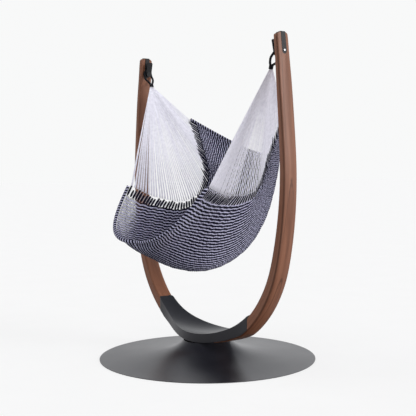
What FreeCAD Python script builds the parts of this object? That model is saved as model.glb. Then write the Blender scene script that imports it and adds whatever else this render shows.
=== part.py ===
import FreeCAD, Part
import math
import os

V = FreeCAD.Vector
os.makedirs("parts", exist_ok=True)

# ---------------------------------------------------------------- driving dimensions, mm
# Base: a spun steel cover over a ballast disc, on rubber pads.
BASE_R = 650.0
PAD_H = 2.0
PAD_R = 14.0
PAD_CIRCLE = 485.0
PAD_COUNT = 8
COVER_T = 3.0
# Outside of the cover as radius, height: flat rim, long flare, upright neck.
COVER_LINE = [(650, 5), (560, 9), (450, 17), (360, 26), (280, 39), (220, 56), (178, 78), (150, 104),
              (138, 132)]
BALLAST_R = 510.0
BALLAST_TOP = 8.0
PEDESTAL_R = 90.0
# U frame centre line: three tangent arcs on each side of the middle.
U_BOTTOM_Z = 106.9
U_R1 = 688.6
U_A1 = math.radians(75.17)
U_R2 = 1906.0
U_A2 = math.radians(93.69)
U_R3 = 11972.0
U_TOP_Z = 1864.6
# Arm section along the centre line: length fraction, width (Y), thickness.
ARM_TAPER = [(0.0, 108.6, 68.7), (0.40, 95.0, 58.0), (0.62, 92.3, 45.5), (0.86, 91.0, 36.4),
             (1.0, 79.0, 34.0)]
ARM_EDGE_R = 10.0
ARM_TOP_R = 26.0
ARM_CROWN = 4.0
ARM_STATIONS = 22
ARM_MEET_GAP = 1.0
# Near the middle the arms' underside is planed off this far below the saddle.
ARM_TUCK = 8.0
ARM_TUCK_X = 430.0
# Saddle: a leaf-shaped cradle, dished on top, that the arms run through.
SADDLE_LEAF = [(0, 133), (110, 121), (220, 94), (320, 67), (400, 55), (450, 52)]
SADDLE_CORNER_R = 17.0
SADDLE_CHEEK = 24.0
SADDLE_TOP_R = 688.0
SADDLE_TOP_Z = 839.3
SADDLE_DISH = 13.7
SADDLE_LOW_R = 919.6
SADDLE_LOW_Z = 1031.6
# Hooks.
SWING_Z = 1763.0
ROPE_X = 647.0
STRAP_W = 30.0
STRAP_T = 4.0
STRAP_OUT = 118.0
STRAP_IN = 126.0
PEG_R = 17.0
TONGUE_W = 38.0
TONGUE_L = 92.0
TONGUE_T = 5.0
TONGUE_GAP = 20.5
TONGUE_LEAN = 6.5
BOLT_R = 4.0
BOLT_HEAD_R = 6.5
# Rope eye.
EYE_ROPE_R = 6.6
EYE_ARC_R = 24.6
THROAT = (606.0, -14.0, 1691.0)
THROAT_SHIFT = {-1: 16.0, 1: 2.0}
EYE_SPREAD = {-1: 0.68, 1: 0.95}
WHIP_R = 8.0
WHIP_SPREAD = 6.3
# Woven seat: end points of the cross threads from the rear to the front, X, Y, Z.
LEFT_END = [(-460, 207, 1461), (-420, 205, 1389), (-345, 194, 1265), (-300, 202, 1160), (-288, 184, 1070),
            (-283, 140, 985), (-287, 55, 945), (-292, -5, 938), (-300, -76, 951), (-334, -185, 980),
            (-399, -287, 1041)]
RIGHT_END = [(460, 207, 1461), (420, 205, 1389), (345, 204, 1250), (300, 204, 1150), (288, 190, 1085),
             (284, 150, 1020), (287, 80, 995), (292, 25, 988), (300, -40, 988), (347, -151, 1002),
             (432, -303, 1044)]
# Middle of the same threads, Y, Z.
MIDDLE = [(470, 1220), (485, 1080), (470, 940), (412, 790), (292, 645), (125, 555),
          (-55, 527), (-240, 560), (-390, 628), (-461, 671), (-489, 714)]
# How sharply each thread turns up near its ends, rear, middle and front.
TURN_POWER = (1.0, 1.0, 3.98)
TURN_SOFT = (0.50, 0.85, 0.78)
LIP_BULGE = 209.0
# The weave is bunched thicker toward the front lip: rear and front thickness.
WEAVE_T = (4.3, 7.8)
BAND = 0.068
STRING_T = 3.0
SELVEDGE_R = (7.0, 9.0)
SOFT_GAP = 3.6


# ---------------------------------------------------------------- helpers
def save(shape, node):
    shape.exportStep("parts/" + node + ".step")


def lerp_table(table, q):
    for low, high in zip(table, table[1:]):
        if q <= high[0]:
            f = (q - low[0]) / (high[0] - low[0])
            return [a + f * (b - a) for a, b in zip(low[1:], high[1:])]
    return list(table[-1][1:])


def smooth(values, v):
    """Catmull-Rom value at v in 0..1 through evenly spaced numbers."""
    n = len(values) - 1
    k = min(int(v * n), n - 1)
    f = v * n - k
    p1 = values[k]
    p2 = values[k + 1]
    p0 = values[k - 1] if k > 0 else 2 * p1 - p2
    p3 = values[k + 2] if k + 2 <= n else 2 * p2 - p1
    a = 2 * p1
    b = (p2 - p0) * f
    c = (2 * p0 - 5 * p1 + 4 * p2 - p3) * f * f
    d = (3 * p1 - p0 - 3 * p2 + p3) * f ** 3
    return 0.5 * (a + b + c + d)


def cylinder(radius, low, high):
    """Round bar between two points."""
    axis = high - low
    return Part.makeCylinder(radius, axis.Length, low, axis)


def bolt(head_r, head_h, shank_r, seat, end):
    """Cap screw: the head stands back from the seat and the shank runs to the end."""
    axis = end - seat
    axis.normalize()
    head = cylinder(head_r, seat - axis * head_h, seat)
    return head.fuse(cylinder(shank_r, seat - axis * 0.5, end)).removeSplitter()


def spline(points):
    curve = Part.BSplineCurve()
    curve.interpolate(points)
    return curve


def rope(points, radius):
    """Round cord along straight runs joined by tangent arcs."""
    edges = []
    start = points[0]
    for k in range(1, len(points) - 1):
        back = points[k - 1] - points[k]
        ahead = points[k + 1] - points[k]
        run = min(back.Length, ahead.Length)
        back.normalize()
        ahead.normalize()
        half = (math.pi - back.getAngle(ahead)) / 2
        if half < 1e-3:
            continue
        cut = 0.45 * run
        first = points[k] + back * cut
        last = points[k] + ahead * cut
        bisector = back + ahead
        bisector.normalize()
        bend = cut / math.tan(half)
        reach = bend / math.cos(half) - bend
        middle = points[k] + bisector * reach
        edges.append(Part.makeLine(start, first))
        edges.append(Part.Arc(first, middle, last).toShape())
        start = last
    edges.append(Part.makeLine(start, points[-1]))
    direction = points[1] - points[0]
    ring = Part.Wire(Part.makeCircle(radius, points[0], direction))
    return Part.Wire(edges).makePipeShell([ring], True, False)


# ---------------------------------------------------------------- U frame line
def arc_parts():
    x1 = U_R1 * math.sin(U_A1)
    z1 = U_BOTTOM_Z + U_R1 * (1 - math.cos(U_A1))
    c2 = (x1 - U_R2 * math.sin(U_A1), z1 + U_R2 * math.cos(U_A1))
    x2 = c2[0] + U_R2 * math.sin(U_A2)
    z2 = c2[1] - U_R2 * math.cos(U_A2)
    c3 = (x2 - U_R3 * math.sin(U_A2), z2 + U_R3 * math.cos(U_A2))
    a3 = math.acos((c3[1] - U_TOP_Z) / U_R3)
    return c2, c3, a3


C2, C3, U_A3 = arc_parts()
LEN1 = U_R1 * U_A1
LEN2 = U_R2 * (U_A2 - U_A1)
LEN3 = U_R3 * (U_A3 - U_A2)
U_LENGTH = LEN1 + LEN2 + LEN3


def u_point(s):
    """Centre-line point, heading angle, width and thickness at a distance s from the middle."""
    if s <= LEN1:
        a = s / U_R1
        x = U_R1 * math.sin(a)
        z = U_BOTTOM_Z + U_R1 * (1 - math.cos(a))
    elif s <= LEN1 + LEN2:
        a = U_A1 + (s - LEN1) / U_R2
        x = C2[0] + U_R2 * math.sin(a)
        z = C2[1] - U_R2 * math.cos(a)
    else:
        a = U_A2 + (s - LEN1 - LEN2) / U_R3
        x = C3[0] + U_R3 * math.sin(a)
        z = C3[1] - U_R3 * math.cos(a)
    width, thick = lerp_table(ARM_TAPER, s / U_LENGTH)
    return x, z, a, width, thick


def section(s, side, grow):
    x, z, a, width, thick = u_point(s)
    out = V(side * math.sin(a), 0, -math.cos(a))
    centre = V(side * x, 0, z)
    hw = width / 2 + grow
    ht = thick / 2 + grow
    r = ARM_EDGE_R
    k = r * (1 - math.sqrt(0.5))

    def at(n, y):
        return centre + out * n + V(0, y, 0)
    edges = []
    for n, y in ((1, 1), (-1, 1), (-1, -1), (1, -1)):
        first = at(n * ht, y * (hw - r))
        last = at(n * (ht - r), y * hw)
        if n * y < 0:
            first, last = last, first
        edges.append(Part.Arc(first, at(n * (ht - k), y * (hw - k)), last))
    wire = []
    for k, arc in enumerate(edges):
        nxt = edges[(k + 1) % 4]
        wire.append(arc.toShape())
        if k < 3:
            wire.append(Part.makeLine(arc.EndPoint, nxt.StartPoint))
    # The outer face is gently crowned.
    wire.append(Part.Arc(edges[3].EndPoint, at(ht + ARM_CROWN, 0), edges[0].StartPoint).toShape())
    return Part.Wire(wire)


def arm_blank(side, grow=0.0):
    start = U_R1 * math.asin(ARM_MEET_GAP / U_R1) if grow == 0 else 0.0
    steps = [start + (U_LENGTH - start) * k / (ARM_STATIONS - 1) for k in range(ARM_STATIONS)]
    blank = Part.makeLoft([section(s, side, grow) for s in steps], True, False)
    sole = Part.makeCylinder(SADDLE_LOW_R + grow, 400, V(0, -200, SADDLE_LOW_Z - ARM_TUCK), V(0, 1, 0))
    knife = Part.makeBox(2 * ARM_TUCK_X, 200, 213, V(-ARM_TUCK_X, -100, 0)).cut(sole)
    return blank.cut(knife)


def top_frame(side):
    """Origin at the middle of the arm's end, with up-along and outward directions."""
    x, z, a, width, thick = u_point(U_LENGTH)
    return V(side * x, 0, z), V(side * math.cos(a), 0, math.sin(a)), V(side * math.sin(a), 0, -math.cos(a))


def arm(side):
    body = arm_blank(side)
    origin, up, out = top_frame(side)
    width = ARM_TAPER[-1][1]
    r = ARM_TOP_R
    for y in (-1, 1):
        corner = origin + V(0, y * width / 2, 0)
        round_bar = Part.makeCylinder(r, 240, V(0, 0, -120))
        knife = Part.makeBox(r + 20, r + 20, 200, V(0, 0, -100)).cut(round_bar)
        place = FreeCAD.Matrix()
        yy = V(0, y, 0)
        third = up.cross(yy)
        place.A11, place.A21, place.A31 = yy.x, yy.y, yy.z
        place.A12, place.A22, place.A32 = up.x, up.y, up.z
        place.A13, place.A23, place.A33 = -third.x, -third.y, -third.z
        base = corner - yy * r - up * r
        place.A14, place.A24, place.A34 = base.x, base.y, base.z
        body = body.cut(knife.transformGeometry(place))
    return body


# ---------------------------------------------------------------- base
def base_cover():
    outer = [V(r, 0, z) for r, z in COVER_LINE]
    inner = []
    for k, p in enumerate(outer):
        a = outer[max(k - 1, 0)]
        b = outer[min(k + 1, len(outer) - 1)]
        t = b - a
        t.normalize()
        inner.append(p + V(-t.z, 0, t.x) * COVER_T)
    inner[0] = V(BASE_R, 0, PAD_H)
    top = spline(outer).toShape()
    low = spline(inner).toShape()
    rim = Part.makeLine(outer[0], inner[0])
    lip = Part.makeLine(outer[-1], inner[-1])
    wire = Part.Wire(Part.__sortEdges__([top, rim, low, lip]))
    shell = Part.Face(wire).revolve(V(0, 0, 0), V(0, 0, 1), 360)
    return shell


def saddle_blank():
    half = [V(x, y, 0) for x, y in SADDLE_LEAF]
    left = [V(-p.x, p.y, 0) for p in reversed(half[1:])]
    back = spline(left + half).toShape()
    front = spline([V(p.x, -p.y, 0) for p in left + half]).toShape()
    end = half[-1]
    e1 = Part.makeLine(end, V(end.x, -end.y, 0))
    e2 = Part.makeLine(V(-end.x, end.y, 0), V(-end.x, -end.y, 0))
    leaf = Part.Face(Part.Wire(Part.__sortEdges__([back, e1, front, e2]))).extrude(V(0, 0, 450))
    corners = [e for e in leaf.Edges if abs(e.Length - 450) < 1 and abs(abs(e.CenterOfMass.x) - end.x) < 1]
    leaf = leaf.makeFillet(SADDLE_CORNER_R, corners)
    # Its cheeks stop just short of the arms' underside.
    cheek = Part.makeCylinder(U_R1 + SADDLE_CHEEK, 600, V(0, -300, U_BOTTOM_Z + U_R1), V(0, 1, 0))
    under = Part.makeCylinder(SADDLE_LOW_R, 600, V(0, -300, SADDLE_LOW_Z), V(0, 1, 0))
    # Barrel that hollows the top: fullest across the middle, smaller toward the rims.
    rim_y = SADDLE_LEAF[0][1]
    far_y = 300.0
    far_r = SADDLE_TOP_R - SADDLE_DISH * (far_y / rim_y) ** 2
    bow = Part.Arc(V(0, -far_y, SADDLE_TOP_Z - far_r), V(0, 0, SADDLE_TOP_Z - SADDLE_TOP_R),
                   V(0, far_y, SADDLE_TOP_Z - far_r)).toShape()
    s1 = Part.makeLine(V(0, -far_y, SADDLE_TOP_Z - far_r), V(0, -far_y, SADDLE_TOP_Z))
    s2 = Part.makeLine(V(0, -far_y, SADDLE_TOP_Z), V(0, far_y, SADDLE_TOP_Z))
    s3 = Part.makeLine(V(0, far_y, SADDLE_TOP_Z), V(0, far_y, SADDLE_TOP_Z - far_r))
    barrel = Part.Face(Part.Wire([bow, s3, s2, s1])).revolve(V(0, 0, SADDLE_TOP_Z), V(0, 1, 0), 360)
    return leaf.common(cheek).common(under).cut(barrel)


def main_base(arms):
    cover = base_cover()
    under = Part.makeCylinder(SADDLE_LOW_R + SOFT_GAP, 600, V(0, -300, SADDLE_LOW_Z), V(0, 1, 0))
    cover = cover.cut(under)
    for side in (-1, 1):
        cover = cover.cut(arm_blank(side, 1.0))
    cover = max(cover.Solids, key=lambda s: s.Volume)
    saddle = saddle_blank().cut(arms[0]).cut(arms[1])
    saddle = max(saddle.Solids, key=lambda s: s.Volume)
    pedestal = Part.makeCylinder(PEDESTAL_R, 140, V(0, 0, BALLAST_TOP), V(0, 0, 1))
    pedestal = pedestal.cut(Part.makeCylinder(SADDLE_LOW_R, 600, V(0, -300, SADDLE_LOW_Z), V(0, 1, 0)))
    pedestal = pedestal.cut(arms[0]).cut(arms[1])
    pedestal = max(pedestal.Solids, key=lambda s: s.Volume)
    ballast = Part.makeCylinder(BALLAST_R, BALLAST_TOP - PAD_H, V(0, 0, PAD_H), V(0, 0, 1))
    pads = []
    for k in range(PAD_COUNT):
        a = math.radians(360.0 / PAD_COUNT * (k + 0.5))
        spot = V(PAD_CIRCLE * math.cos(a), PAD_CIRCLE * math.sin(a), 0)
        pads.append(Part.makeCylinder(PAD_R, PAD_H, spot))
    return cover, saddle, pedestal, ballast, pads


def clamp_bolts(spots, reach):
    """Cap screws whose heads sit in the underside of the pedestal."""
    out = []
    for x, y in spots:
        out.append(bolt(8.0, 9.0, 5.0, V(x, y, BALLAST_TOP + 10.0), V(x, y, reach)))
    return out


def plate_bolts():
    out = []
    for k in range(6):
        a = math.radians(30 + 60 * k)
        x = 78 * math.cos(a)
        y = 78 * math.sin(a)
        head = Part.makeCone(9.0, 5.0, 4.0, V(x, y, PAD_H), V(0, 0, 1))
        out.append(head.fuse(Part.makeCylinder(5.0, 30.0, V(x, y, PAD_H))).removeSplitter())
    return out


# ---------------------------------------------------------------- hooks
def hook_frame(side):
    """Point on the peg's axis in the rope's plane, and the arm's own up and outward directions."""
    s = U_LENGTH
    for _ in range(40):
        x, z, a, width, thick = u_point(s)
        hit = z + (x - ROPE_X) / math.sin(a) * math.cos(a)
        s -= hit - SWING_Z
    out = V(side * math.sin(a), 0, -math.cos(a))
    up = V(side * math.cos(a), 0, math.sin(a))
    depth = (x - ROPE_X) / math.sin(a)
    return V(side * ROPE_X, 0, SWING_Z), up, out, depth, thick


def face_points(side, offset, drop, count=6):
    """Points down one face of the arm, from its end; offset is measured off the face."""
    pts = []
    for k in range(count):
        x, z, a, width, thick = u_point(U_LENGTH - drop * k / (count - 1))
        reach = math.copysign(thick / 2 + abs(offset), offset)
        pts.append(V(side * (x + reach * math.sin(a)), 0, z - reach * math.cos(a)))
    return pts


def strap(side):
    origin, up, out = top_frame(side)
    near = 0.2
    far = near + STRAP_T
    outer_a = face_points(side, near, STRAP_OUT)
    outer_b = face_points(side, far, STRAP_OUT)
    inner_a = face_points(side, -near, STRAP_IN)
    inner_b = face_points(side, -far, STRAP_IN)
    top_a = [outer_a[0] + up * near, inner_a[0] + up * near]
    r = 5.0
    b0 = outer_b[0] + up * (far - r)
    b1 = outer_b[0] + up * far - out * r
    bm = outer_b[0] + up * far - (up + out) * (r * (1 - math.sqrt(0.5)))
    c0 = inner_b[0] + up * far + out * r
    c1 = inner_b[0] + up * (far - r)
    cm = inner_b[0] + up * far - (up - out) * (r * (1 - math.sqrt(0.5)))
    edges = [spline(outer_b).toShape(), Part.makeLine(outer_b[0], b0), Part.Arc(b0, bm, b1).toShape(),
             Part.makeLine(b1, c0), Part.Arc(c0, cm, c1).toShape(), Part.makeLine(c1, inner_b[0]),
             spline(inner_b).toShape(), Part.makeLine(inner_b[-1], inner_a[-1]), spline(inner_a).toShape(),
             Part.makeLine(inner_a[0], top_a[1]), Part.makeLine(top_a[1], top_a[0]),
             Part.makeLine(top_a[0], outer_a[0]), spline(outer_a).toShape(),
             Part.makeLine(outer_a[-1], outer_b[-1])]
    wire = Part.Wire(Part.__sortEdges__(edges))
    face = Part.Face(wire)
    face.translate(V(0, -STRAP_W / 2, 0))
    body = face.extrude(V(0, STRAP_W, 0))
    # Each leg ends in a half-round tip.
    for line, length in ((outer_b, STRAP_OUT), (inner_b, STRAP_IN)):
        tip = line[-1]
        _, _, a, _, _ = u_point(U_LENGTH - length)
        lu = V(side * math.cos(a), 0, math.sin(a))
        lo = V(side * math.sin(a), 0, -math.cos(a))
        block = Part.makeBox(60, 60, 40, V(-30, -60 + STRAP_W / 2, -20))
        keep = Part.makeCylinder(STRAP_W / 2, 40, V(0, STRAP_W / 2, -20))
        upper = Part.makeBox(60, 60, 40, V(-30, STRAP_W / 2, -20))
        knife = block.cut(keep).cut(upper)
        place = FreeCAD.Matrix()
        yy = V(0, 1, 0)
        third = yy.cross(lu)
        place.A11, place.A21, place.A31 = yy.x, yy.y, yy.z
        place.A12, place.A22, place.A32 = lu.x, lu.y, lu.z
        place.A13, place.A23, place.A33 = third.x, third.y, third.z
        place.A14, place.A24, place.A34 = tip.x, tip.y, tip.z
        body = body.cut(knife.transformGeometry(place))
    return body


def tongue(side, centre, up, out, face_gap):
    """Tongue plate: rounded at its foot, leaning off the arm toward its top."""
    w = TONGUE_W
    low = -16.0
    plate = Part.makeBox(w, TONGUE_L - w / 2, TONGUE_T, V(-w / 2, low + w / 2, 0))
    foot = Part.makeCylinder(w / 2, TONGUE_T, V(0, low + w / 2, 0))
    plate = plate.fuse(foot).removeSplitter()
    tops = [e for e in plate.Edges if e.Length < TONGUE_T + 0.1 and e.CenterOfMass.y > low + TONGUE_L - 1]
    plate = plate.makeFillet(8.0, tops)
    lean = math.radians(TONGUE_LEAN)
    pu = up * math.cos(lean) - out * math.sin(lean)
    pn = out * math.cos(lean) + up * math.sin(lean)
    yy = V(0, side, 0)
    base = centre + out * face_gap
    place = FreeCAD.Matrix()
    place.A11, place.A21, place.A31 = yy.x, yy.y, yy.z
    place.A12, place.A22, place.A32 = pu.x, pu.y, pu.z
    place.A13, place.A23, place.A33 = -pn.x, -pn.y, -pn.z
    place.A14, place.A24, place.A34 = base.x, base.y, base.z
    return plate.transformGeometry(place)


def hook_set(side):
    centre, up, out, depth, thick = hook_frame(side)
    leg_face = depth - thick / 2 - 0.2 - STRAP_T
    plate_face = leg_face - TONGUE_GAP
    body = strap(side)
    plate = tongue(side, centre, up, out, plate_face)
    peg = cylinder(PEG_R, centre + out * (plate_face - 8), centre + out * leg_face)
    peg = peg.cut(plate)
    peg = max(peg.Solids, key=lambda s: s.CenterOfMass.dot(out))
    peg = peg.cut(body)
    seat = centre + out * (depth + thick / 2 + 0.2 + STRAP_T + 0.05)
    end = centre + out * (plate_face + 8)
    screw = bolt(BOLT_HEAD_R, 3.2, BOLT_R, seat, end)
    rims = [e for e in screw.Edges if abs(e.Length - 2 * math.pi * BOLT_HEAD_R) < 0.1]
    far_rim = max(rims, key=lambda e: e.CenterOfMass.dot(out))
    screw = screw.makeFillet(2.2, [far_rim])
    return body, plate, peg, screw


# ---------------------------------------------------------------- soft seat
def thread_law(t, v):
    if v < 0.5:
        f = v / 0.5
        n = TURN_POWER[0] + (TURN_POWER[1] - TURN_POWER[0]) * f
        c = TURN_SOFT[0] + (TURN_SOFT[1] - TURN_SOFT[0]) * f
    else:
        f = (v - 0.5) / 0.5
        n = TURN_POWER[1] + (TURN_POWER[2] - TURN_POWER[1]) * f
        c = TURN_SOFT[1] + (TURN_SOFT[2] - TURN_SOFT[1]) * f
    start = c ** n
    return ((t * t + c * c) ** (n / 2) - start) / ((1 + c * c) ** (n / 2) - start)


def end_point(side, v):
    table = LEFT_END if side < 0 else RIGHT_END
    return V(*[smooth([p[k] for p in table], v) for k in range(3)])


def seat_point(u, v):
    """Middle surface of the weave: u runs left to right, v runs rear to front."""
    side = -1 if u < 0 else 1
    t = abs(u)
    end = end_point(side, v)
    my = smooth([p[0] for p in MIDDLE], v)
    mz = smooth([p[1] for p in MIDDLE], v)
    f = thread_law(t, v)
    y = my + (end.y - my) * f
    z = mz + (end.z - mz) * f
    if side < 0 and v > 0.5:
        y -= LIP_BULGE * t * (1 - t) * ((v - 0.5) / 0.5) ** 2
    return V(end.x * t, y, z)


def string_point(side, s, v):
    """Fan of end strings: s runs from the woven edge to the throat."""
    end = end_point(side, v)
    foot = V(side * THROAT[0], THROAT[1] + THROAT_SHIFT[side] + 16 * (0.5 - v), THROAT[2] - 14)
    return end + (foot - end) * s


def weave_thick(v):
    return WEAVE_T[0] + (WEAVE_T[1] - WEAVE_T[0]) * v


def skin(func, a0, a1, b0, b1, na, nb, thick):
    """Thin solid on both sides of a surface given as a function of two numbers."""
    rows_up = []
    rows_low = []
    for i in range(na):
        a = a0 + (a1 - a0) * i / (na - 1)
        up_row = []
        low_row = []
        for j in range(nb):
            b = b0 + (b1 - b0) * j / (nb - 1)
            p = func(a, b)
            da = func(min(a + 1e-3, 1), b) - func(max(a - 1e-3, -1), b)
            db = func(a, min(b + 1e-3, 1)) - func(a, max(b - 1e-3, 0))
            n = da.cross(db)
            n.normalize()
            half = thick(b) / 2
            up_row.append(p + n * half)
            low_row.append(p - n * half)
        rows_up.append(up_row)
        rows_low.append(low_row)
    faces = []
    surfaces = []
    for rows in (rows_up, rows_low):
        surf = Part.BSplineSurface()
        surf.interpolate(rows)
        surfaces.append(surf)
        faces.append(surf.toShape())
    u0, u1, v0, v1 = surfaces[0].bounds()
    pairs = []
    for surf in surfaces:
        pairs.append([surf.uIso(u0), surf.uIso(u1), surf.vIso(v0), surf.vIso(v1)])
    for c1, c2 in zip(pairs[0], pairs[1]):
        faces.append(Part.makeRuledSurface(c1.toShape(), c2.toShape()))
    shell = Part.makeShell(faces)
    shell.sewShape()
    solid = Part.makeSolid(Part.Shell(shell.Faces))
    if solid.Volume < 0:
        solid.reverse()
    return solid


def selvedge(v_edge):
    """Rope along the rear or front edge, just clear of the weave."""
    pts = []
    inward = 0.004 if v_edge < 0.5 else -0.004
    radius = SELVEDGE_R[0] if v_edge < 0.5 else SELVEDGE_R[1]
    for k in range(25):
        u = (-1 + 2 * k / 24) * 0.985
        p = seat_point(u, v_edge)
        q = seat_point(u, v_edge + inward)
        away = p - q
        away.normalize()
        pts.append(p + away * (radius + SOFT_GAP))
    return rope(pts, radius)


def eye(side):
    """Two legs seized side by side at the throat, and a bight over the peg."""
    pts = [V(603, -20.6, 1682), V(607, -21.4, 1696), V(620, -36, 1711), V(636, -46, 1730),
           V(644, -39, 1747)]
    turn = 30.0
    reach = EYE_ARC_R / math.cos(math.radians(turn / 2))
    for k in range(7):
        a = math.radians(-90 + turn * k)
        pts.append(V(ROPE_X, reach * math.sin(a), SWING_Z + reach * math.cos(a)))
    pts += [V(644, 36, 1747), V(636, 36, 1730), V(620, 14, 1711), V(607, -6.6, 1696), V(603, -7.4, 1682)]
    route = []
    for p in pts:
        y = p.y
        if 1700 < p.z < 1750:
            y *= EYE_SPREAD[side]
        if p.z < 1750:
            y += THROAT_SHIFT[side] * min(1.0, (SWING_Z - p.z) / 67)
        route.append(V(side * p.x, y, p.z))
    return rope(route, EYE_ROPE_R)


def whipping(side, cord):
    """Flat oval seizing round both legs of the eye."""
    middle = THROAT[1] + THROAT_SHIFT[side]
    top = V(side * (THROAT[0] + 1), middle, THROAT[2] + 1)
    foot = V(side * (THROAT[0] - 4), middle, THROAT[2] - 12)
    shift = V(0, WHIP_SPREAD, 0)
    body = cylinder(WHIP_R, foot - shift, top - shift).fuse(cylinder(WHIP_R, foot + shift, top + shift))
    body = body.removeSplitter().cut(cord)
    return max(body.Solids, key=lambda s: s.Volume)


# ---------------------------------------------------------------- build
arms = [arm(-1), arm(1)]
cover, saddle, pedestal, ballast, pads = main_base(arms)

saddle_spots = [(x, y) for x in (-40, 40) for y in (-70, 70)]
arm_spots = [(x, 0) for x in (-70, -30, 30, 70)]
saddle_bolts = clamp_bolts(saddle_spots, 132.0)
arm_bolts = clamp_bolts(arm_spots, 147.0)
under_bolts = plate_bolts()
for item in saddle_bolts + arm_bolts + under_bolts:
    pedestal = pedestal.cut(item)
for item in saddle_bolts + arm_bolts:
    saddle = saddle.cut(item)
for item in under_bolts:
    ballast = ballast.cut(item)
for spot_bolt in arm_bolts:
    arms = [a.cut(spot_bolt) for a in arms]

names = {-1: "left", 1: "right"}
for index, side in enumerate((-1, 1)):
    body, plate, peg, screw = hook_set(side)
    body = body.cut(screw)
    peg = peg.cut(screw)
    # The strap is let into the crown of the outer face.
    arms[index] = arms[index].cut(screw).cut(body)
    arms[index] = max(arms[index].Solids, key=lambda s: s.Volume)
    save(body, "strap_" + names[side])
    save(plate, "tongue_" + names[side])
    save(peg, "peg_" + names[side])
    save(screw, "hook_bolt_" + names[side])
    save(arms[index], "arm_" + names[side])

save(cover, "base_cover")
save(saddle, "saddle")
save(pedestal, "pedestal")
save(ballast, "ballast_plate")
save(Part.makeCompound(pads), "foot_pads")
save(Part.makeCompound(saddle_bolts), "saddle_bolts")
save(Part.makeCompound(arm_bolts), "arm_bolts")
save(Part.makeCompound(under_bolts), "plate_bolts")

for side in (-1, 1):
    cord = eye(side)
    save(cord, "eye_" + names[side])
    save(whipping(side, cord), "whipping_" + names[side])
    strings = skin(lambda s, v: string_point(side, s, v), 0.006, 0.985, 0, 1, 8, 31, lambda v: STRING_T)
    save(strings, "strings_" + names[side])
    low, high = sorted((side * (1 - BAND), side))
    save(skin(seat_point, low, high, 0, 1, 5, 41, weave_thick), "end_bars_" + names[side])
save(skin(seat_point, -1 + BAND + 0.001, 1 - BAND - 0.001, 0, 1, 41, 41, weave_thick), "seat_weave")
save(selvedge(0.0), "selvedge_rear")
save(selvedge(1.0), "selvedge_front")
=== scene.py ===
import math
import bpy
import numpy as np
from mathutils import Matrix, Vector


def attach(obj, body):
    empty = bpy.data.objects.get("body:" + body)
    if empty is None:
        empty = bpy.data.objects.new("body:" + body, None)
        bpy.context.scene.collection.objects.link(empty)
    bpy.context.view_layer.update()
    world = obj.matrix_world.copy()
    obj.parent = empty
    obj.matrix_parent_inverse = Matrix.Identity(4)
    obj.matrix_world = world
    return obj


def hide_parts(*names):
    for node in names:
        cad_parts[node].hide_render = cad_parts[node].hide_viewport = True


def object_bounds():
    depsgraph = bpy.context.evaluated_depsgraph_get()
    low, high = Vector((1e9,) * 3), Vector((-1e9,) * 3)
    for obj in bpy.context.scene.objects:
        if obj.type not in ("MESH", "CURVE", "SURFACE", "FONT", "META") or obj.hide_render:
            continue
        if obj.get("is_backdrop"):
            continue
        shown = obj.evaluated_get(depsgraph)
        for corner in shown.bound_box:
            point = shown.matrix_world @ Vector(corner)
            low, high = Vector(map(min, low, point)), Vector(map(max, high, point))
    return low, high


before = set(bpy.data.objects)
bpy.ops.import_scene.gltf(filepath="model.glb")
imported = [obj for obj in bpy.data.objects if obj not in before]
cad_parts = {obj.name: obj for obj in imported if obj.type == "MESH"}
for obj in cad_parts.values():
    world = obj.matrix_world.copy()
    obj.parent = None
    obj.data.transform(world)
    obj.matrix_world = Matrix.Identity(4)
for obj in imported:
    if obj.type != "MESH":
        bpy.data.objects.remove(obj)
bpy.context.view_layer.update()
scene = bpy.context.scene
dice = np.random.RandomState(41)
SIDES = {-1: "left", 1: "right"}

# ---------------------------------------------------------------- camera
LOOK = math.radians(53.358)
PITCH = math.radians(2.686)
ROLL = math.radians(-0.263)
STAND_AT = math.radians(53.44)
STAND_OFF = 5.0773
STAND_UP = 1.1421
back = np.array([math.sin(LOOK) * math.cos(PITCH), -math.cos(LOOK) * math.cos(PITCH), math.sin(PITCH)])
level = np.array([math.cos(LOOK), math.sin(LOOK), 0.0])
upright = np.cross(back, level)
cam_x = level * math.cos(ROLL) + upright * math.sin(ROLL)
cam_y = -level * math.sin(ROLL) + upright * math.cos(ROLL)
camera_data = bpy.data.cameras.new("camera")
camera_data.lens = 73.02
camera_data.sensor_width = 36.0
camera = bpy.data.objects.new("camera", camera_data)
scene.collection.objects.link(camera)
place = Matrix.Identity(4)
for row in range(3):
    place[row][0] = cam_x[row]
    place[row][1] = cam_y[row]
    place[row][2] = back[row]
place[0][3] = math.sin(STAND_AT) * STAND_OFF
place[1][3] = -math.cos(STAND_AT) * STAND_OFF
place[2][3] = STAND_UP
camera.matrix_world = place
scene.camera = camera

# ---------------------------------------------------------------- shape of the hammock, mm
LEFT_END = [(-460, 207, 1461), (-420, 205, 1389), (-345, 194, 1265), (-300, 202, 1160), (-288, 184, 1070),
            (-283, 140, 985), (-287, 55, 945), (-292, -5, 938), (-300, -76, 951), (-334, -185, 980),
            (-399, -287, 1041)]
RIGHT_END = [(460, 207, 1461), (420, 205, 1389), (345, 204, 1250), (300, 204, 1150), (288, 190, 1085),
             (284, 150, 1020), (287, 80, 995), (292, 25, 988), (300, -40, 988), (347, -151, 1002),
             (432, -303, 1044)]
MIDDLE = [(470, 1220), (485, 1080), (470, 940), (412, 790), (292, 645), (125, 555),
          (-55, 527), (-240, 560), (-390, 628), (-461, 671), (-489, 714)]
# How the cloth turns up to its ends, at the rear edge, the middle and the front edge.
TURN_POWER = (1.0, 1.0, 3.98)
TURN_SOFT = (0.50, 0.85, 0.78)
# The front lip hangs out on its left half.
LIP_BULGE = 209.0

# From here on in metres. The net: where it ends, as u, and its cords, navy first and then pale.
WOVEN = 0.931
PAIRS = 52
CORD_SHARE = (0.60, 0.40)
CORD_WIDE = (0.0048, 0.0027)
CORD_HIGH = (0.0020, 0.0013)
STEPS = 256
GATHERS = (19, 31.3, 53.7)
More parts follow.
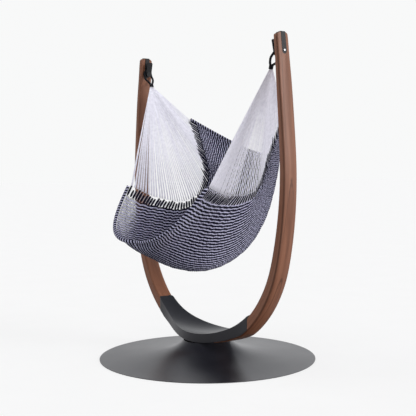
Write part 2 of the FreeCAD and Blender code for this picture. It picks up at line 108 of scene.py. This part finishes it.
# Bars at each end with their radius at the rear and the front, the loops between them, and strings to a bar.
BARS = 56
BAR_R = {-1: (0.0058, 0.0068), 1: (0.0046, 0.0054)}
LOOP_R = {-1: 0.0009, 1: 0.0013}
STRANDS = 6
# Stations along a string from its bar to the throat, and its radius there.
STRING_SHARE = np.array([0.0, 0.03, 0.35, 0.7, 0.93, 1.0])
STRING_R = np.array([0.0013, 0.0013, 0.00125, 0.0011, 0.0009, 0.0007])
# Where the strings meet: across and height, and then how far back on each side.
THROAT = (0.605, 1.678)
THROAT_Y = {-1: 0.002, 1: -0.012}
# Edge ropes: how far they lie off the cloth, and how much fuller the laid strands are than a plain rope.
SOFT_GAP = 0.0036
FULL = 1.15
# Rope eyes: radius, how far the legs stand apart as a share, and the seizing's turns, half sizes and ends.
EYE_ROPE_R = 0.0070
EYE_SPREAD = {-1: 0.68, 1: 0.95}
WHIP_TURNS, WHIP_WIDE, WHIP_DEEP = 11, 0.0138, 0.0079
WHIP_LOW, WHIP_HIGH = (0.6015, 1.6765), (0.6070, 1.6925)
# One lamination of the arms.
PLY = 0.0066


def smooth(table, v):
    """Catmull-Rom rows at v in 0..1 through evenly spaced stations."""
    p = np.array(table, float)
    p = np.vstack([2 * p[0] - p[1], p, 2 * p[-1] - p[-2]])
    n = len(table) - 1
    k = np.clip((v * n).astype(int), 0, n - 1)
    f = (v * n - k)[..., None]
    p0, p1, p2, p3 = p[k], p[k + 1], p[k + 2], p[k + 3]
    return 0.5 * (2 * p1 + (p2 - p0) * f + (2 * p0 - 5 * p1 + 4 * p2 - p3) * f * f
                  + (3 * p1 - p0 - 3 * p2 + p3) * f ** 3)


def end_edge(u, v):
    return np.where((u < 0)[..., None], smooth(LEFT_END, v), smooth(RIGHT_END, v))


def seat(u, v):
    """Middle surface of the weave, metres: u runs left to right, v rear to front."""
    u, v = np.broadcast_arrays(np.asarray(u, float), np.asarray(v, float))
    t = abs(u)
    end = end_edge(u, v)
    mid = smooth(MIDDLE, v)
    n = np.interp(v, (0, 0.5, 1), TURN_POWER)
    c = np.interp(v, (0, 0.5, 1), TURN_SOFT)
    low = c ** n
    f = ((t * t + c * c) ** (n / 2) - low) / ((1 + c * c) ** (n / 2) - low)
    y = mid[..., 0] + (end[..., 1] - mid[..., 0]) * f
    z = mid[..., 1] + (end[..., 2] - mid[..., 1]) * f
    front = np.clip((v - 0.5) / 0.5, 0, 1)
    y = y - np.where(u < 0, LIP_BULGE * t * (1 - t) * front ** 2, 0)
    return np.stack([end[..., 0] * t, y, z], -1) / 1000


def unit(a):
    return a / np.maximum(np.linalg.norm(a, axis=-1, keepdims=True), 1e-12)


def seat_normal(u, v):
    du = seat(np.clip(u + 1e-3, -1, 1), v) - seat(np.clip(u - 1e-3, -1, 1), v)
    dv = seat(u, np.clip(v + 1e-3, 0, 1)) - seat(u, np.clip(v - 1e-3, 0, 1))
    return unit(np.cross(du, dv))


# ---------------------------------------------------------------- mesh makers
def add_mesh(name, verts, faces, uv=None):
    mesh = bpy.data.meshes.new(name)
    mesh.from_pydata(verts, [], faces)
    mesh.polygons.foreach_set("use_smooth", np.ones(len(mesh.polygons), bool))
    if uv is not None:
        layer = mesh.uv_layers.new(name="along")
        index = np.zeros(len(mesh.loops), int)
        mesh.loops.foreach_get("vertex_index", index)
        layer.data.foreach_set("uv", uv[index].ravel())
    mesh.update()
    piece = bpy.data.objects.new(name, mesh)
    scene.collection.objects.link(piece)
    return piece


def tubes(name, lines, wide, high, up, sides):
    """One mesh of many tubes: lines is (tubes, points, 3), with half widths across and along up."""
    tangent = np.empty_like(lines)
    tangent[:, 1:-1] = lines[:, 2:] - lines[:, :-2]
    tangent[:, 0] = lines[:, 1] - lines[:, 0]
    tangent[:, -1] = lines[:, -1] - lines[:, -2]
    across = unit(np.cross(unit(tangent), up))
    rise = unit(np.cross(across, tangent))
    count, points = lines.shape[:2]
    angle = np.arange(sides) * 2 * math.pi / sides
    wide = np.broadcast_to(wide, (count, points))[..., None, None]
    high = np.broadcast_to(high, (count, points))[..., None, None]
    ring = (across[:, :, None] * np.cos(angle)[:, None] * wide
            + rise[:, :, None] * np.sin(angle)[:, None] * high)
    verts = (lines[:, :, None] + ring).reshape(-1, 3)
    a = np.arange(count * points * sides).reshape(count, points, sides)
    b = np.roll(a, -1, axis=2)
    quads = np.stack([a[:, :-1], b[:, :-1], b[:, 1:], a[:, 1:]], -1).reshape(-1, 4)
    caps = a[:, 0, ::-1].tolist() + a[:, -1].tolist()
    run = np.linalg.norm(np.diff(lines, axis=1), axis=-1)
    run = np.concatenate([np.zeros((count, 1)), np.cumsum(run, 1)], 1)
    uv = np.stack([np.repeat(run[..., None], sides, 2) + np.arange(count)[:, None, None] * 0.731,
                   np.broadcast_to(angle / (2 * math.pi), (count, points, sides))], -1).reshape(-1, 2)
    return add_mesh(name, verts, quads.tolist() + caps, uv)


def carry(path, start):
    """Turn-free up directions along one path."""
    tangent = unit(np.gradient(path, axis=0))
    ups = [unit(start - tangent[0] * np.dot(start, tangent[0]))]
    for t in tangent[1:]:
        ups.append(unit(ups[-1] - t * np.dot(ups[-1], t)))
    return np.array(ups)


def laid_rope(path, radius, strands, pitch):
    """Twisted rope: returns the strands' lines round one path, and their up directions."""
    up = carry(path, np.array([0.1, 0.2, 1.0]))
    tangent = unit(np.gradient(path, axis=0))
    across = np.cross(tangent, up)
    run = np.concatenate([[0], np.cumsum(np.linalg.norm(np.diff(path, axis=0), axis=1))])
    # Three strands that touch fill a rope when each has this share of its radius.
    strand_r = radius * 0.464
    phase = np.arange(strands) * 2 * math.pi / strands
    turn = run[None] * 2 * math.pi / pitch + phase[:, None]
    spoke = np.cos(turn)[..., None] * up + np.sin(turn)[..., None] * across
    return path + spoke * (radius - strand_r), spoke, strand_r


def resample(path, step):
    run = np.concatenate([[0], np.cumsum(np.linalg.norm(np.diff(path, axis=0), axis=1))])
    at = np.linspace(0, run[-1], int(run[-1] / step))
    return np.stack([np.interp(at, run, path[:, k]) for k in range(3)], -1)


# ---------------------------------------------------------------- materials
def material(name):
    m = bpy.data.materials.new(name)
    m.use_nodes = True
    tree = m.node_tree
    return m, tree, tree.nodes["Principled BSDF"]


def node(tree, kind, inputs=(), **settings):
    n = tree.nodes.new(kind)
    for key, value in settings.items():
        setattr(n, key, value)
    for key, value in dict(inputs).items():
        if isinstance(value, bpy.types.NodeSocket):
            tree.links.new(value, n.inputs[key])
        else:
            n.inputs[key].default_value = value
    return n


def mathop(tree, op, a, b=0.0, c=0.0):
    n = tree.nodes.new("ShaderNodeMath")
    n.operation = op
    for k, value in enumerate((a, b, c)):
        if isinstance(value, bpy.types.NodeSocket):
            tree.links.new(value, n.inputs[k])
        elif k < len(n.inputs):
            n.inputs[k].default_value = value
    return n.outputs[0]


def ramp(tree, fac, stops):
    n = tree.nodes.new("ShaderNodeValToRGB")
    tree.links.new(fac, n.inputs[0])
    while len(n.color_ramp.elements) < len(stops):
        n.color_ramp.elements.new(0.5)
    for element, (at, colour) in zip(n.color_ramp.elements, stops):
        element.position = at
        element.color = (*colour, 1)
    return n.outputs[0]


def bump(tree, shader, height, strength, distance):
    n = node(tree, "ShaderNodeBump", {"Strength": strength, "Distance": distance, "Height": height})
    tree.links.new(n.outputs[0], shader.inputs["Normal"])


def object_coords(tree):
    return tree.nodes.new("ShaderNodeTexCoord").outputs["Object"]


def coated(name, low, high, rough, grain=900.0, lift=0.25, specular=0.5):
    """Powder-coated metal: faint cloudiness, fine orange peel."""
    m, tree, shader = material(name)
    at = object_coords(tree)
    cloud = node(tree, "ShaderNodeTexNoise", {"Vector": at, "Scale": 7.0, "Detail": 4.0})
    tree.links.new(ramp(tree, cloud.outputs["Fac"], [(0.3, low), (0.7, high)]), shader.inputs["Base Color"])
    r = node(tree, "ShaderNodeMapRange",
             {"Value": cloud.outputs["Fac"], "To Min": rough[0], "To Max": rough[1]})
    tree.links.new(r.outputs[0], shader.inputs["Roughness"])
    peel = node(tree, "ShaderNodeTexNoise", {"Vector": at, "Scale": grain, "Detail": 2.0})
    bump(tree, shader, peel.outputs["Fac"], lift, 0.0004)
    shader.inputs["Specular IOR Level"].default_value = specular
    return m


def bare_metal(name, low, high, rough):
    """Turned or rolled metal with a fine brushed grain."""
    m, tree, shader = material(name)
    at = object_coords(tree)
    lay = node(tree, "ShaderNodeMapping", {"Vector": at, "Scale": (900.0, 900.0, 40.0)})
    lines = node(tree, "ShaderNodeTexNoise", {"Vector": lay.outputs[0], "Scale": 1.0, "Detail": 3.0})
    tree.links.new(ramp(tree, lines.outputs["Fac"], [(0.3, low), (0.7, high)]), shader.inputs["Base Color"])
    r = node(tree, "ShaderNodeMapRange",
             {"Value": lines.outputs["Fac"], "To Min": rough[0], "To Max": rough[1]})
    tree.links.new(r.outputs[0], shader.inputs["Roughness"])
    shader.inputs["Metallic"].default_value = 1.0
    bump(tree, shader, lines.outputs["Fac"], 0.15, 0.0002)
    return m


def yarn(name, low, high, rough=0.85, sheen=0.3):
    """Spun cord: plies that wind round it, lighter and darker lengths, a soft nap."""
    m, tree, shader = material(name)
    uv = tree.nodes.new("ShaderNodeTexCoord").outputs["UV"]
    split = node(tree, "ShaderNodeSeparateXYZ", {"Vector": uv})
    along = mathop(tree, "MULTIPLY", split.outputs[0], 420.0)
    wound = mathop(tree, "MULTIPLY", mathop(tree, "ADD", along, split.outputs[1]), 2 * math.pi)
    wound = mathop(tree, "SINE", wound)
    stretch = node(tree, "ShaderNodeTexNoise", {"Vector": object_coords(tree), "Scale": 60.0, "Detail": 4.0})
    fuzz = node(tree, "ShaderNodeTexNoise", {"Vector": object_coords(tree), "Scale": 1400.0, "Detail": 2.0})
    tone = mathop(tree, "ADD", mathop(tree, "MULTIPLY", wound, 0.10), stretch.outputs["Fac"])
    tone = mathop(tree, "ADD", tone, mathop(tree, "MULTIPLY", fuzz.outputs["Fac"], 0.25))
    tree.links.new(ramp(tree, tone, [(0.35, low), (0.85, high)]), shader.inputs["Base Color"])
    shader.inputs["Roughness"].default_value = rough
    shader.inputs["Sheen Weight"].default_value = sheen
    shader.inputs["Specular IOR Level"].default_value = 0.25
    bump(tree, shader, mathop(tree, "ADD", wound, fuzz.outputs["Fac"]), 0.4, 0.0004)
    return m


# Bent line of the U frame: radii of its tangent arcs, the heading where each starts, and its lowest height.
U_R = (0.6886, 1.906, 11.972)
U_A = (0.0, math.radians(75.17), math.radians(93.69))
U_LOW = 0.1069


def arcs():
    """Each arc's centre (across, height), radius, first heading, and the run before it."""
    out = []
    x, z, run = 0.0, U_LOW, 0.0
    for k, (radius, heading) in enumerate(zip(U_R, U_A)):
        if k:
            turned = heading - U_A[k - 1]
            last = U_R[k - 1]
            cx, cz = out[-1][:2]
            x = cx + last * math.sin(heading)
            z = cz - last * math.cos(heading)
            run += last * turned
        out.append((x - radius * math.sin(heading), z + radius * math.cos(heading), radius, heading, run))
    return out


def walnut():
    """Steam-bent laminations: grain and glue lines follow the bend, oiled satin finish."""
    m, tree, shader = material("walnut")
    split = node(tree, "ShaderNodeSeparateXYZ", {"Vector": object_coords(tree)})
    x = mathop(tree, "ABSOLUTE", split.outputs[0])
    y, z = split.outputs[1], split.outputs[2]
    along, depth = None, None
    for cx, cz, radius, heading, run in arcs():
        dx = mathop(tree, "SUBTRACT", x, cx)
        dz = mathop(tree, "SUBTRACT", cz, z)
        far = mathop(tree, "SQRT", mathop(tree, "ADD", mathop(tree, "MULTIPLY", dx, dx),
                                          mathop(tree, "MULTIPLY", dz, dz)))
        n = mathop(tree, "SUBTRACT", far, radius)
        turn = mathop(tree, "SUBTRACT", mathop(tree, "ARCTAN2", dx, dz), heading)
        s = mathop(tree, "MULTIPLY_ADD", turn, radius, run)
        if along is None:
            along, depth = s, n
            continue
        past = mathop(tree, "GREATER_THAN", turn, 0.0)
        along = mathop(tree, "ADD", along, mathop(tree, "MULTIPLY", past, mathop(tree, "SUBTRACT", s, along)))
        depth = mathop(tree, "ADD", depth, mathop(tree, "MULTIPLY", past, mathop(tree, "SUBTRACT", n, depth)))
    ply = mathop(tree, "MULTIPLY", depth, 1 / PLY)
    layer = mathop(tree, "FLOOR", ply)
    shifted = mathop(tree, "MULTIPLY_ADD", layer, 3.17, along)
    side = mathop(tree, "MULTIPLY_ADD", mathop(tree, "SIGN", split.outputs[0]), 0.37, y)
    flow = node(tree, "ShaderNodeCombineXYZ", {"X": mathop(tree, "MULTIPLY", shifted, 1.5),
                                               "Y": mathop(tree, "MULTIPLY", side, 34.0),
                                               "Z": mathop(tree, "MULTIPLY", depth, 60.0)})
    figure = node(tree, "ShaderNodeTexNoise", {"Vector": flow.outputs[0], "Scale": 1.0, "Detail": 6.0,
                                               "Roughness": 0.58, "Distortion": 0.25})
    fine = node(tree, "ShaderNodeCombineXYZ", {"X": mathop(tree, "MULTIPLY", shifted, 14.0),
                                               "Y": mathop(tree, "MULTIPLY", side, 700.0),
                                               "Z": mathop(tree, "MULTIPLY", depth, 700.0)})
    pores = node(tree, "ShaderNodeTexNoise", {"Vector": fine.outputs[0], "Scale": 1.0, "Detail": 3.0})
    broad = mathop(tree, "MULTIPLY", figure.outputs["Fac"], 0.85)
    tone = mathop(tree, "MULTIPLY_ADD", pores.outputs["Fac"], 0.30, broad)
    colour = ramp(tree, tone, [(0.32, (0.140, 0.052, 0.027)), (0.52, (0.210, 0.083, 0.044)),
                               (0.66, (0.265, 0.111, 0.061)), (0.90, (0.325, 0.148, 0.086))])
    seam = mathop(tree, "ABSOLUTE", mathop(tree, "SUBTRACT", mathop(tree, "FRACT", ply), 0.5))
    seam = node(tree, "ShaderNodeMapRange", {"Value": seam, "From Min": 0.455, "From Max": 0.5,
                                             "To Min": 0.0, "To Max": 0.55}).outputs[0]
    # The last lamination shows darker on the side faces: this is painted shade, chosen by how far the surface
    # normal faces sideways.
    facing = tree.nodes.new("ShaderNodeTexCoord").outputs["Normal"]
    facing = node(tree, "ShaderNodeSeparateXYZ", {"Vector": facing})
    sideways = mathop(tree, "ABSOLUTE", facing.outputs[1])
    sideways = node(tree, "ShaderNodeMapRange",
                    {"Value": sideways, "From Min": 0.35, "From Max": 0.75}).outputs[0]
    edge = mathop(tree, "ADD", depth, mathop(tree, "MULTIPLY_ADD", along, 0.0087, -0.0344))
    last = node(tree, "ShaderNodeMapRange", {"Value": edge, "From Min": -0.012, "From Max": -0.008,
                                             "To Max": 0.5}).outputs[0]
    # The mask joins the real dark glue lines between plies with the painted shade on the side faces.
    glue_lines_and_painted_shade_mask = mathop(tree, "MAXIMUM", seam, mathop(tree, "MULTIPLY", sideways, last))
    glue_lines_and_painted_shade = node(tree, "ShaderNodeMixRGB",
                 {"Fac": glue_lines_and_painted_shade_mask, "Color1": colour, "Color2": (0.035, 0.014, 0.009, 1)})
    tree.links.new(glue_lines_and_painted_shade.outputs[0], shader.inputs["Base Color"])
    r = node(tree, "ShaderNodeMapRange", {"Value": tone, "To Min": 0.52, "To Max": 0.36})
    tree.links.new(r.outputs[0], shader.inputs["Roughness"])
    shader.inputs["Specular IOR Level"].default_value = 0.32
    shader.inputs["Coat Weight"].default_value = 0.06
    shader.inputs["Coat Roughness"].default_value = 0.35
    bump(tree, shader, mathop(tree, "SUBTRACT", tone, seam), 0.25, 0.0006)
    return m


black = coated("black_coat", (0.012, 0.012, 0.016), (0.019, 0.019, 0.025), (0.27, 0.34), 900.0, 0.2, 0.75)
cast = coated("black_casting", (0.008, 0.008, 0.012), (0.013, 0.013, 0.018), (0.27, 0.30), 60.0, 0.04, 0.9)
hook_black = coated("hook_coat", (0.006, 0.006, 0.007), (0.011, 0.011, 0.013), (0.38, 0.48), 1200.0, 0.2, 0.3)
iron = coated("iron_paint", (0.016, 0.017, 0.019), (0.026, 0.027, 0.030), (0.5, 0.6), 400.0, 0.4)
rubber = coated("rubber", (0.012, 0.012, 0.012), (0.022, 0.022, 0.022), (0.75, 0.85), 1500.0, 0.3, 0.3)
steel = bare_metal("ballast_steel", (0.23, 0.235, 0.24), (0.36, 0.365, 0.37), (0.35, 0.5))
stainless = bare_metal("stainless", (0.52, 0.53, 0.54), (0.68, 0.69, 0.70), (0.22, 0.34))
zinc = bare_metal("zinc_screw", (0.40, 0.41, 0.42), (0.55, 0.56, 0.57), (0.28, 0.4))
wood = walnut()
navy = yarn("navy_cotton", (0.002, 0.002, 0.009), (0.006, 0.006, 0.024), 0.9, 0.02)
pale = yarn("pale_cotton", (0.47, 0.46, 0.65), (0.72, 0.71, 0.92))
cream = yarn("string_cotton", (0.60, 0.59, 0.67), (0.77, 0.76, 0.84))
# A faint glow stands in for the light that comes through the thin strings.
shader = cream.node_tree.nodes["Principled BSDF"]
shader.inputs["Emission Color"].default_value = (0.95, 0.94, 1.0, 1)
shader.inputs["Emission Strength"].default_value = 0.14
pitch_rope = yarn("black_rope", (0.004, 0.004, 0.006), (0.012, 0.012, 0.016), 0.75, 0.03)

for name, m in (("base_cover", black), ("ballast_plate", steel), ("foot_pads", rubber), ("pedestal", iron),
                ("plate_bolts", zinc), ("saddle_bolts", zinc), ("arm_bolts", zinc), ("saddle", cast),
                ("arm_left", wood), ("arm_right", wood),
                ("strap_left", hook_black), ("strap_right", hook_black),
                ("tongue_left", hook_black), ("tongue_right", hook_black),
                ("peg_left", hook_black), ("peg_right", hook_black),
                ("hook_bolt_left", stainless), ("hook_bolt_right", stainless)):
    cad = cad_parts[name]
    cad.data.materials.clear()
    cad.data.materials.append(m)


def finish_piece(piece, m, node_name):
    piece.data.materials.append(m)
    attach(piece, "hammock")
    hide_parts(node_name)


# ---------------------------------------------------------------- woven seat
# Even spacing of the lines across the cloth, measured along its cross threads.
FINE = 801
ROWS = np.linspace(0.04, 0.96, 12)
fine_u = np.linspace(-WOVEN, WOVEN, FINE)
spans = np.zeros(FINE)
for v in ROWS:
    steps = np.linalg.norm(np.diff(seat(fine_u, np.full(FINE, v)), axis=0), axis=1)
    spans[1:] += np.cumsum(steps) / len(ROWS)
spread = spans / spans[-1]
v_line = np.linspace(0.0, 1.0, STEPS + 1)


def ripple(turns):
    """Rounded saw wave, as the gathers of the cloth make."""
    f = turns % 1.0
    return np.where(f < 0.68, f / 0.68, (1 - f) / 0.32) * 2 - 1


def woven_lines(kind, half):
    """Zigzag cords of one colour on one half: each pair of cords links to the next at its turns."""
    lines, ups = [], []
    cell = CORD_SHARE[kind] / (2 * PAIRS)
    first = 0 if half < 0 else PAIRS // 2
    for pair in range(first, first + PAIRS // 2):
        for twin in (0, 1):
            rank = 4 * pair + 2 * kind + twin
            at = (pair + kind * CORD_SHARE[0]) / PAIRS + (twin + 0.5) * cell
            turn = np.where((np.arange(STEPS + 1) + rank) % 2 == 0, 1.0, -1.0)
            wave = ripple(v_line * GATHERS[0] + at * 5.0) + 0.6 * ripple(v_line * GATHERS[1] - at * 9.0)
            drift = 0.5 * wave + 0.2 * ripple(v_line * GATHERS[2] + at * 23.0)
            slack = dice.normal(0, 0.05, STEPS + 1)
            where = at + cell * (0.24 * turn + slack) + drift / (4 * PAIRS)
            u = np.interp(np.clip(where, 0, 1), spread, fine_u)
            n = seat_normal(u, v_line)
            over = 0.0007 * turn + 0.0010 * wave + dice.normal(0, 0.0002, STEPS + 1)
            lines.append(seat(u, v_line) + n * over[:, None])
            ups.append(n)
    return np.array(lines), np.array(ups)


woven_pieces = []
for kind, (colour, m) in enumerate((("navy", navy), ("pale", pale))):
    for half in (-1, 1):
        lines, ups = woven_lines(kind, half)
        # The dark cords lie tighter where the cloth bunches at the front, and a little along the rear.
        bunch = np.clip((v_line - 0.87) / 0.08, 0, 1) * (0.60 if half < 0 else 0.35)
        rear = 0.14 * np.clip(1 - v_line / 0.35, 0, 1)
        wide = CORD_WIDE[kind] * (1 - bunch - rear, 1 + 0.5 * bunch)[kind]
        piece = tubes(f"weave_{colour}_{SIDES[half]}", lines, wide, CORD_HIGH[kind], ups, 4)
        finish_piece(piece, m, "seat_weave")
        woven_pieces.append(piece)


# ---------------------------------------------------------------- end bars and strings
def bar_lines(side, spots, first, last, lift, stations=6):
    """Short lines along the cross threads of one end, from u first to u last, lifted off the cloth."""
    lines, ups = [], []
    for v, a, b in zip(spots, first, last):
        u = side * np.linspace(a, b, stations)
        vv = np.full(stations, v)
        n = seat_normal(np.clip(u, -0.999, 0.999), vv)
        lines.append(seat(u, vv) + n * lift)
        ups.append(n)
    return np.array(lines), np.array(ups)


def edge_spots(side, count):
    """Even spacing along the woven end, as v."""
    v = np.linspace(0, 1, 600)
    edge = seat(np.full(600, side * 0.98), v)
    run = np.concatenate([[0], np.cumsum(np.linalg.norm(np.diff(edge, axis=0), axis=1))])
    return np.interp((np.arange(count) + 0.5) / count * run[-1], run, v)


for side, word in SIDES.items():
    spots = np.clip(edge_spots(side, BARS) + dice.normal(0, 0.0012, BARS), 0.001, 0.999)
    spots.sort()
    # The bars run from the net out to its end, longer toward the rear.
    start = 0.930 + dice.uniform(-0.003, 0.003, BARS)
    end = 0.991 + dice.uniform(-0.012, 0.010, BARS) + 0.010 * (spots < 0.4)
    start -= 0.022 * (spots < 0.4)
    lines, ups = bar_lines(side, spots, start, end, 0.0004)
    # On the steep rear part the bars run on up the strings.
    throat = np.array([side * THROAT[0], THROAT_Y[side], THROAT[1]])
    ahead = unit(throat - lines[:, -1])
    reach = np.where(spots < 0.5, dice.uniform(0.016, 0.040, BARS), 0.001)
    lines = np.concatenate([lines, (lines[:, -1] + ahead * reach[:, None])[:, None]], axis=1)
    ups = np.concatenate([ups, ups[:, -1:]], axis=1)
    body = np.array([0.55, 0.95, 1.0, 1.0, 0.9, 0.75, 0.30])
    rear_r, front_r = BAR_R[side]
    girth = np.where(spots < 0.5, rear_r, front_r)[:, None]
    bars = tubes("end_bars_navy_" + word, lines, girth * body, 0.55 * girth * body, ups, 8)
    finish_piece(bars, navy, "end_bars_" + word)
    between = (spots[1:] + spots[:-1]) / 2
    lines, ups = bar_lines(side, between, np.full(BARS - 1, 0.926), np.full(BARS - 1, 0.999), -0.0004)
    loops = tubes("end_loops_" + word, lines, LOOP_R[side], LOOP_R[side], ups, 6)
    finish_piece(loops, cream, "end_bars_" + word)
    # Each bar of the woven end takes a small bundle of strings, all gathered at the throat.
    lines = []
    for v in spots:
        for strand in range(STRANDS):
            vv = np.clip(v + (strand - (STRANDS - 1) / 2) * 0.0016 + dice.normal(0, 0.0003), 0, 1)
            foot = end_edge(np.array(side * 1.0), np.array(vv)) / 1000
            low = foot - unit(foot - seat(side * 0.97, vv)) * 0.004
            swing = dice.uniform(0, 2 * math.pi)
            reach = 0.0025 * math.sqrt(dice.uniform(0, 1))
            y = THROAT_Y[side] + 0.020 * (0.5 - vv) + 0.5 * reach * math.cos(swing)
            top = np.array([side * THROAT[0], y, THROAT[1] + 0.4 * reach * math.sin(swing)])
            line = low + (top - low) * STRING_SHARE[:, None]
            line[1] = foot + (top - foot) * STRING_SHARE[1]
            line[:, 1] += np.sin(STRING_SHARE * math.pi) * dice.normal(0, 0.0006)
            lines.append(line)
    lines = np.array(lines)
    up = np.broadcast_to(np.array([0.0, 1.0, 0.0]), lines.shape)
    fan = tubes("strings_fan_" + word, lines, STRING_R, STRING_R, up, 5)
    finish_piece(fan, cream, "strings_" + word)

# ---------------------------------------------------------------- selvedge ropes
for word, edge, radius, pitch in (("rear", 0.0, 0.0070, 0.019), ("front", 1.0, 0.0090, 0.021)):
    u = np.linspace(-0.985, 0.985, 400)
    rim = seat(u, np.full(400, edge))
    inner = seat(u, np.full(400, edge + (0.004 if edge < 0.5 else -0.004)))
    path = resample(rim + unit(rim - inner) * (radius + SOFT_GAP), 0.0022)
    for kind, (colour, m) in enumerate((("navy", navy), ("pale", pale))):
        lines, spokes, strand_r = laid_rope(path, radius * FULL, 3, pitch)
        pick = [0, 1] if kind == 0 else [2]
        rope = tubes(f"selvedge_{word}_{colour}", lines[pick], strand_r, strand_r, spokes[pick], 7)
        finish_piece(rope, m, "selvedge_" + word)

# ---------------------------------------------------------------- rope eyes and whippings
# Middle of the rope, mm: up one leg, over the peg and down the other.
ARC_R = 25.2
PEG_X, PEG_Z = 647, 1763
EYE = [(603, -20.6, 1682), (607, -21.4, 1696), (620, -36, 1711), (636, -46, 1730), (644, -39, 1747)]
EYE += [(PEG_X, ARC_R * math.sin(math.radians(a)), PEG_Z + ARC_R * math.cos(math.radians(a)))
        for a in range(-90, 91, 30)]
EYE += [(644, 36, 1747), (636, 36, 1730), (620, 14, 1711), (607, -6.6, 1696), (603, -7.4, 1682)]
for side, word in SIDES.items():
    route = np.array([(side * x, y, z) for x, y, z in EYE]) / 1000
    route[:, 1] *= np.where((route[:, 2] > 1.700) & (route[:, 2] < 1.750), EYE_SPREAD[side], 1)
    # Both legs lean toward the throat below the peg.
    lean = np.where(route[:, 2] < 1.750, np.minimum(1, (PEG_Z / 1000 - route[:, 2]) / 0.067), 0)
    route[:, 1] += (THROAT_Y[side] + 0.014) * lean
    path = resample(smooth(route, np.linspace(0, 1, 600)), 0.0012)
    lines, spokes, strand_r = laid_rope(path, EYE_ROPE_R, 3, 0.024)
    loop = tubes("eye_rope_" + word, lines, strand_r * 1.05, strand_r * 1.05, spokes, 9)
    finish_piece(loop, pitch_rope, "eye_" + word)
    # Seizing: a flat oval coil round both legs and the heads of the strings.
    low = np.array([side * WHIP_LOW[0], THROAT_Y[side], WHIP_LOW[1]])
    high = np.array([side * WHIP_HIGH[0], THROAT_Y[side], WHIP_HIGH[1]])
    axis = unit(high - low)
    a = np.linspace(0, 2 * math.pi * WHIP_TURNS, WHIP_TURNS * 26)
    wide = np.array([0.0, 1.0, 0.0])
    deep = np.cross(axis, wide)
    coil = (low + np.outer(a / a[-1], high - low) + np.outer(np.cos(a) * WHIP_WIDE, wide)
            + np.outer(np.sin(a) * WHIP_DEEP, deep))
    out = unit(np.outer(np.cos(a), wide) + np.outer(np.sin(a), deep))
    twine = tubes("whipping_twine_" + word, coil[None], 0.00095, 0.00095, out[None], 7)
    finish_piece(twine, pitch_rope, "whipping_" + word)

# Each woven piece's side, read from its name.
for piece in woven_pieces:
    word = piece.name.split("_")[2]

# ---------------------------------------------------------------- floor and light
floor_mesh = bpy.data.meshes.new("floor")
floor_mesh.from_pydata([(-60, -60, 0), (60, -60, 0), (60, 60, 0), (-60, 60, 0)], [], [(0, 1, 2, 3)])
floor = bpy.data.objects.new("floor", floor_mesh)
scene.collection.objects.link(floor)
floor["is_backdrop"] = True
floor.visible_diffuse = False
floor.visible_glossy = False
m, tree, shader = material("floor")
shade = node(tree, "ShaderNodeTexNoise", {"Vector": object_coords(tree), "Scale": 3.0})
tree.links.new(ramp(tree, shade.outputs["Fac"], [(0.3, (0.245, 0.245, 0.245)), (0.7, (0.255, 0.255, 0.255))]),
               shader.inputs["Base Color"])
shader.inputs["Emission Color"].default_value = (0.72, 0.72, 0.72, 1)
shader.inputs["Emission Strength"].default_value = 1.0
shader.inputs["Roughness"].default_value = 0.9
shader.inputs["Specular IOR Level"].default_value = 0.0
floor_mesh.materials.append(m)

world = bpy.data.worlds.new("studio")
scene.world = world
world.use_nodes = True
web = world.node_tree
sky = web.nodes["Background"]
seen = node(web, "ShaderNodeBackground", {"Color": (0.94, 0.945, 0.945, 1)})
# Studio surround: dim below the floor line, brightest in a band above it, and stronger from behind.
toward = web.nodes.new("ShaderNodeTexCoord").outputs["Generated"]
toward = node(web, "ShaderNodeSeparateXYZ", {"Vector": toward})
lifted = mathop(web, "MULTIPLY_ADD", toward.outputs[2], 0.5, 0.5)
surround = [(0.08, (0.16, 0.16, 0.17)), (0.30, (0.52, 0.52, 0.55)), (0.52, (1.0, 1.0, 1.02)),
            (0.66, (0.86, 0.87, 0.89)), (0.80, (0.24, 0.25, 0.27)), (1.0, (0.14, 0.15, 0.17))]
web.links.new(ramp(web, lifted, surround), sky.inputs["Color"])
turned = mathop(web, "MULTIPLY", toward.outputs[0], 0.22)
turned = mathop(web, "MULTIPLY_ADD", toward.outputs[1], 0.85, turned)
web.links.new(mathop(web, "MULTIPLY_ADD", turned, 0.46, 0.85), sky.inputs["Strength"])
ray = web.nodes.new("ShaderNodeLightPath")
pick = node(web, "ShaderNodeMixShader",
            {0: ray.outputs["Is Camera Ray"], 1: sky.outputs[0], 2: seen.outputs[0]})
web.links.new(pick.outputs[0], web.nodes["World Output"].inputs["Surface"])


def sun(name, azimuth, elevation, strength, spread, glints=True):
    """Azimuth as for a view: 0 shines from -Y, 90 from +X."""
    data = bpy.data.lights.new(name, "SUN")
    data.energy = strength
    data.angle = math.radians(spread)
    lamp = bpy.data.objects.new(name, data)
    a, e = math.radians(azimuth), math.radians(elevation)
    lamp.matrix_world = Matrix.Rotation(a, 4, "Z") @ Matrix.Rotation(math.pi / 2 - e, 4, "X")
    lamp.visible_glossy = glints
    scene.collection.objects.link(lamp)


# The last two fill the cloth and the wood without a glint on the black metal.
sun("key", 116, 20, 1.45, 30)
sun("side", 75, 2, 0.30, 50)
sun("left", 305, 20, 1.15, 60, glints=False)
sun("top", 20, 70, 0.95, 60, glints=False)
scene.view_settings.view_transform = "Standard"
scene.view_settings.look = "None"

low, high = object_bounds()
